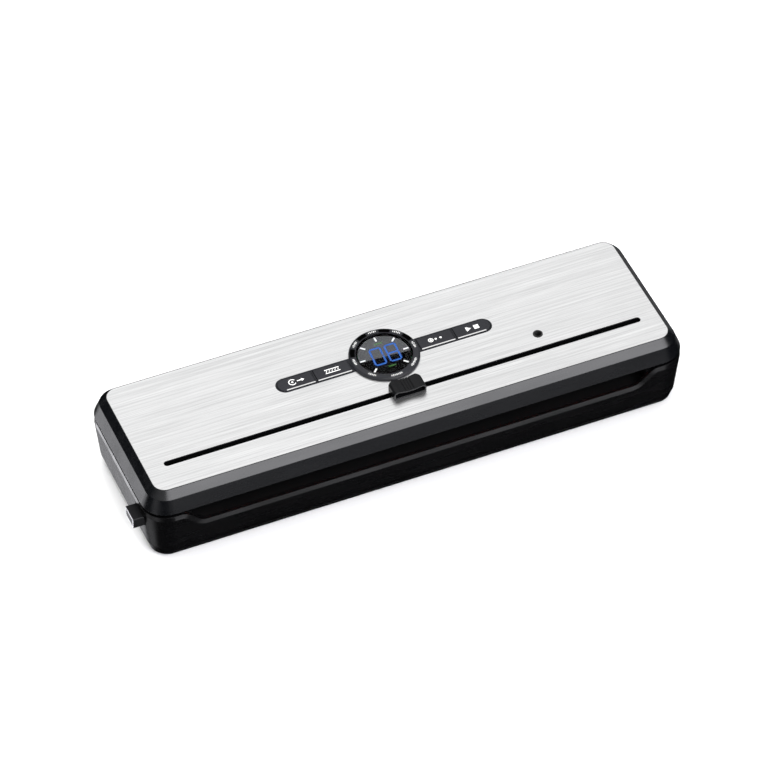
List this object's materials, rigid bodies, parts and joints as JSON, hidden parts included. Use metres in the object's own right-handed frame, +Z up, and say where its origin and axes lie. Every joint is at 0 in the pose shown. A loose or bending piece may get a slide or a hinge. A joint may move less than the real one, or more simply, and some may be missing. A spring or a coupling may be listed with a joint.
{
  "type": "vacuum sealer",
  "caption": "Slim counter-top vacuum sealer: brushed steel lid with a round display, push buttons and a sliding bag cutter, hinged on a black base with a dipped bag mouth.",
  "frame": {"origin": "middle of the whole outline, latch button included, on the surface that the feet rest on", "axes": "+X along the machine towards the end without the latch button, +Y to the back where the hinge is, +Z up"},
  "size_m": [0.3782, 0.113, 0.0629],
  "materials": {
    "black_plastic": "fine moulded satin texture",
    "satin_plastic": "moulded matt black",
    "brushed_steel": "brushed along the length",
    "gloss_black": "satin dark grey caps and frame",
    "lens_glass": "smoked glass",
    "display_black": "black display with lit segments",
    "grip_plastic": "moulded black",
    "silver_trim": "satin silver",
    "foam_gasket": "closed cell foam",
    "silicone": "silicone rubber",
    "rubber": "soft rubber",
    "heater_ceramic": "heat resistant moulding",
    "ribbon_metal": "bright steel",
    "release_tape": "PTFE coated glass cloth",
    "screw_steel": "zinc plated",
    "motor_steel": "plated steel can",
    "pump_plastic": "nylon",
    "board_green": "circuit board",
    "component_black": "moulded components",
    "contact_metal": "plated brass"
  },
  "bodies": {
    "base": {"base_housing": "black_plastic", "bottom_cover": "black_plastic", "base_deck": "satin_plastic", "lower_gasket": "foam_gasket", "vacuum_hose": "silicone", "rubber_feet": "rubber", "heater_bar": "heater_ceramic", "heating_strip": "ribbon_metal", "release_tape": "release_tape", "base_screws": "screw_steel", "hinge_pins": "screw_steel", "latch_spring": "screw_steel", "motor_can": "motor_steel", "pump_head": "pump_plastic", "pump_covers": "pump_plastic", "motor_cradle": "pump_plastic", "trough_nozzle": "pump_plastic", "board_spacers": "pump_plastic", "mains_inlet": "pump_plastic", "power_board": "board_green", "transformer": "component_black", "power_relay": "component_black", "inlet_pins": "contact_metal"},
    "lid": {"lid_shell": "black_plastic", "steel_panel": "brushed_steel", "lid_inner_cover": "satin_plastic", "upper_gasket": "foam_gasket", "sealing_pad": "silicone", "lid_screws": "screw_steel", "lid_catches": "grip_plastic", "button_frame": "gloss_black", "display_ring": "gloss_black", "display_lens": "lens_glass", "display_module": "display_black", "control_board": "board_green", "key_switches": "component_black", "port_bush": "rubber", "cutter_guide": "satin_plastic"},
    "cutter": {"blade_carriage": "grip_plastic", "cutter_knob": "grip_plastic", "cutter_blade": "ribbon_metal"},
    "latch": {"latch_bar": "grip_plastic", "latch_button": "grip_plastic", "latch_button_insert": "silver_trim"},
    "rotor": {"motor_rotor": "motor_steel"},
    "inner_button_left": {"inner_button_left": "gloss_black"},
    "inner_button_right": {"inner_button_right": "gloss_black"},
    "outer_button_left": {"outer_button_left": "gloss_black"},
    "outer_button_right": {"outer_button_right": "gloss_black"}
  },
  "joints": [
    {"name": "lid_hinge", "type": "hinge", "parent": "base", "child": "lid", "pos_m": [0.00332, 0.052, 0.045], "axis": [-1, 0, 0], "range_deg": [0, 80]},
    {"name": "cutter_slide", "type": "slide", "parent": "lid", "child": "cutter", "axis": [1, 0, 0], "range_m": [-0.156, 0.1535]},
    {"name": "latch_slide", "type": "slide", "parent": "base", "child": "latch", "axis": [1, 0, 0], "range_m": [0, 0.003], "stiffness_N_per_m": 600, "deforming": ["latch_spring"]},
    {"name": "rotor_spin", "type": "hinge", "parent": "base", "child": "rotor", "pos_m": [0.02332, 0.028, 0.0172], "axis": [1, 0, 0], "continuous": true},
    {"name": "inner_button_left_press", "type": "slide", "parent": "lid", "child": "inner_button_left", "axis": [0, 0, -1], "range_m": [0, 0.0008], "stiffness_N_per_m": 600},
    {"name": "inner_button_right_press", "type": "slide", "parent": "lid", "child": "inner_button_right", "axis": [0, 0, -1], "range_m": [0, 0.0008], "stiffness_N_per_m": 600},
    {"name": "outer_button_left_press", "type": "slide", "parent": "lid", "child": "outer_button_left", "axis": [0, 0, -1], "range_m": [0, 0.0008], "stiffness_N_per_m": 600},
    {"name": "outer_button_right_press", "type": "slide", "parent": "lid", "child": "outer_button_right", "axis": [0, 0, -1], "range_m": [0, 0.0008], "stiffness_N_per_m": 600}
  ]
}
